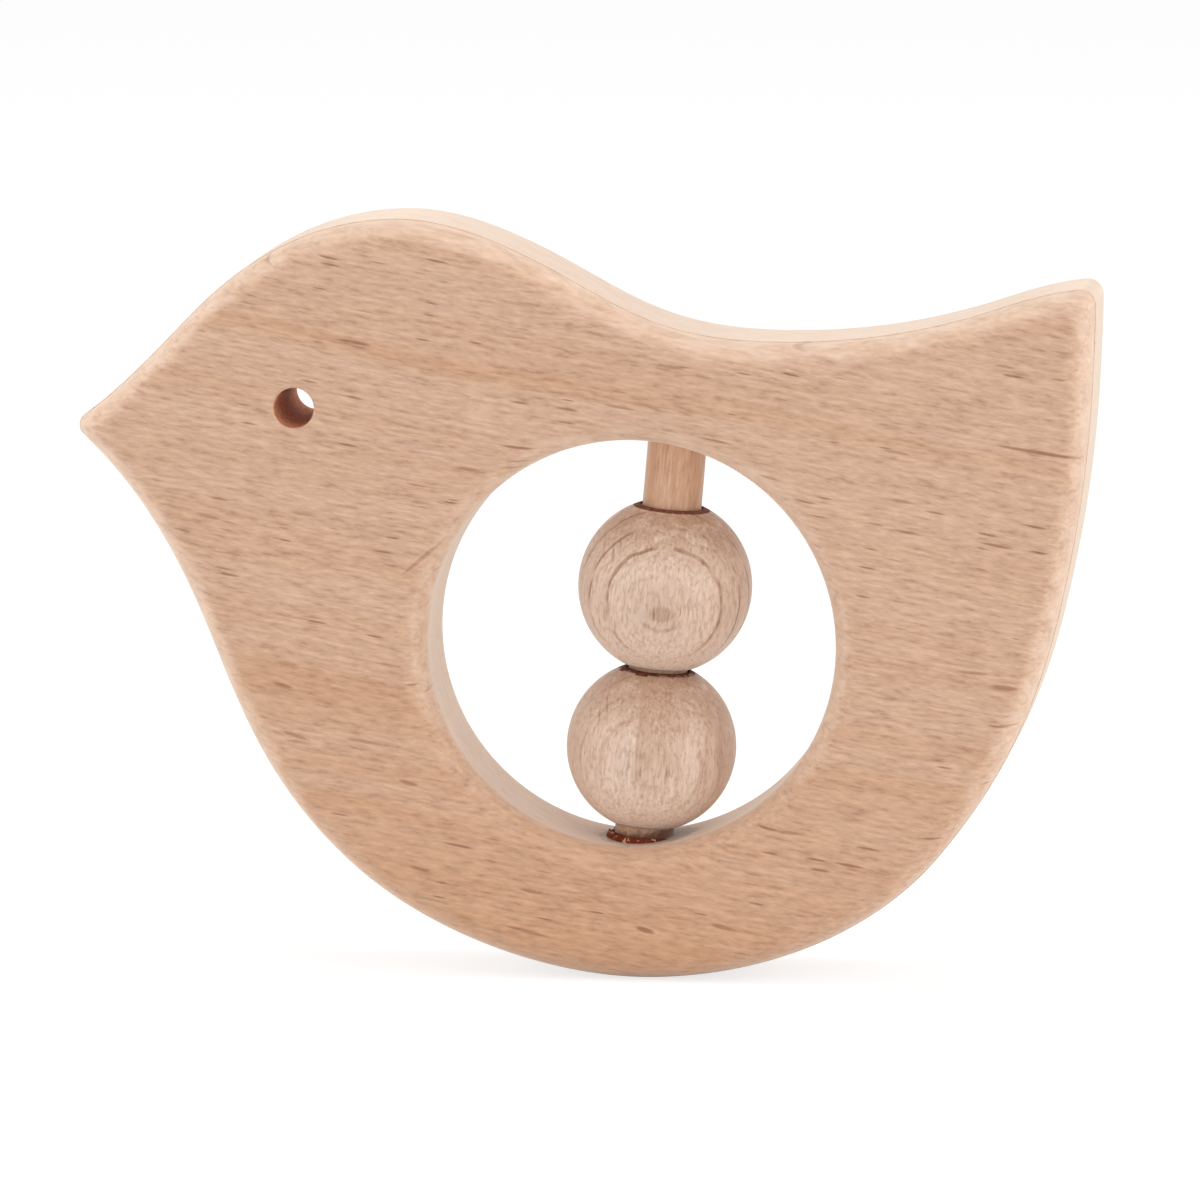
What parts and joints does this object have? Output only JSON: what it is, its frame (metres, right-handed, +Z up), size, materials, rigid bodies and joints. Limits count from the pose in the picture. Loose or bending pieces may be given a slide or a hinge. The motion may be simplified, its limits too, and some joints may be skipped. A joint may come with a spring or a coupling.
{
  "type": "wooden baby rattle",
  "caption": "Flat wooden grasping rattle in a plain bird outline, with a round grip hole crossed by a dowel that carries loose round beads.",
  "frame": {"origin": "middle of the bounding box in X and Y, at the height of the belly's lowest point", "axes": "+X from beak to tail, +Y out of the back face, +Z up as the bird stands in use"},
  "size_m": [0.1, 0.0172, 0.0747],
  "materials": {
    "board_beech": "bare sanded beech, satin",
    "dowel_beech": "bare turned beech, satin",
    "upper_bead_wood": "bare turned wood, satin",
    "lower_bead_wood": "bare turned wood, satin"
  },
  "bodies": {
    "bird": {"bird_body": "board_beech", "dowel": "dowel_beech"},
    "lower_bead": {"lower_bead": "lower_bead_wood"},
    "upper_bead": {"upper_bead": "upper_bead_wood"}
  },
  "joints": [
    {"name": "lower_bead_slide", "type": "slide", "parent": "bird", "child": "lower_bead", "axis": [0.0837, 0, 0.9965], "range_m": [-0.0006, 0.00585]},
    {"name": "upper_bead_slide", "type": "slide", "parent": "bird", "child": "upper_bead", "axis": [0.0837, 0, 0.9965], "range_m": [-0.0006, 0.00585]}
  ],
  "couplings": [
    {"joint": "upper_bead_slide", "follows": "lower_bead_slide", "ratio": 1}
  ]
}
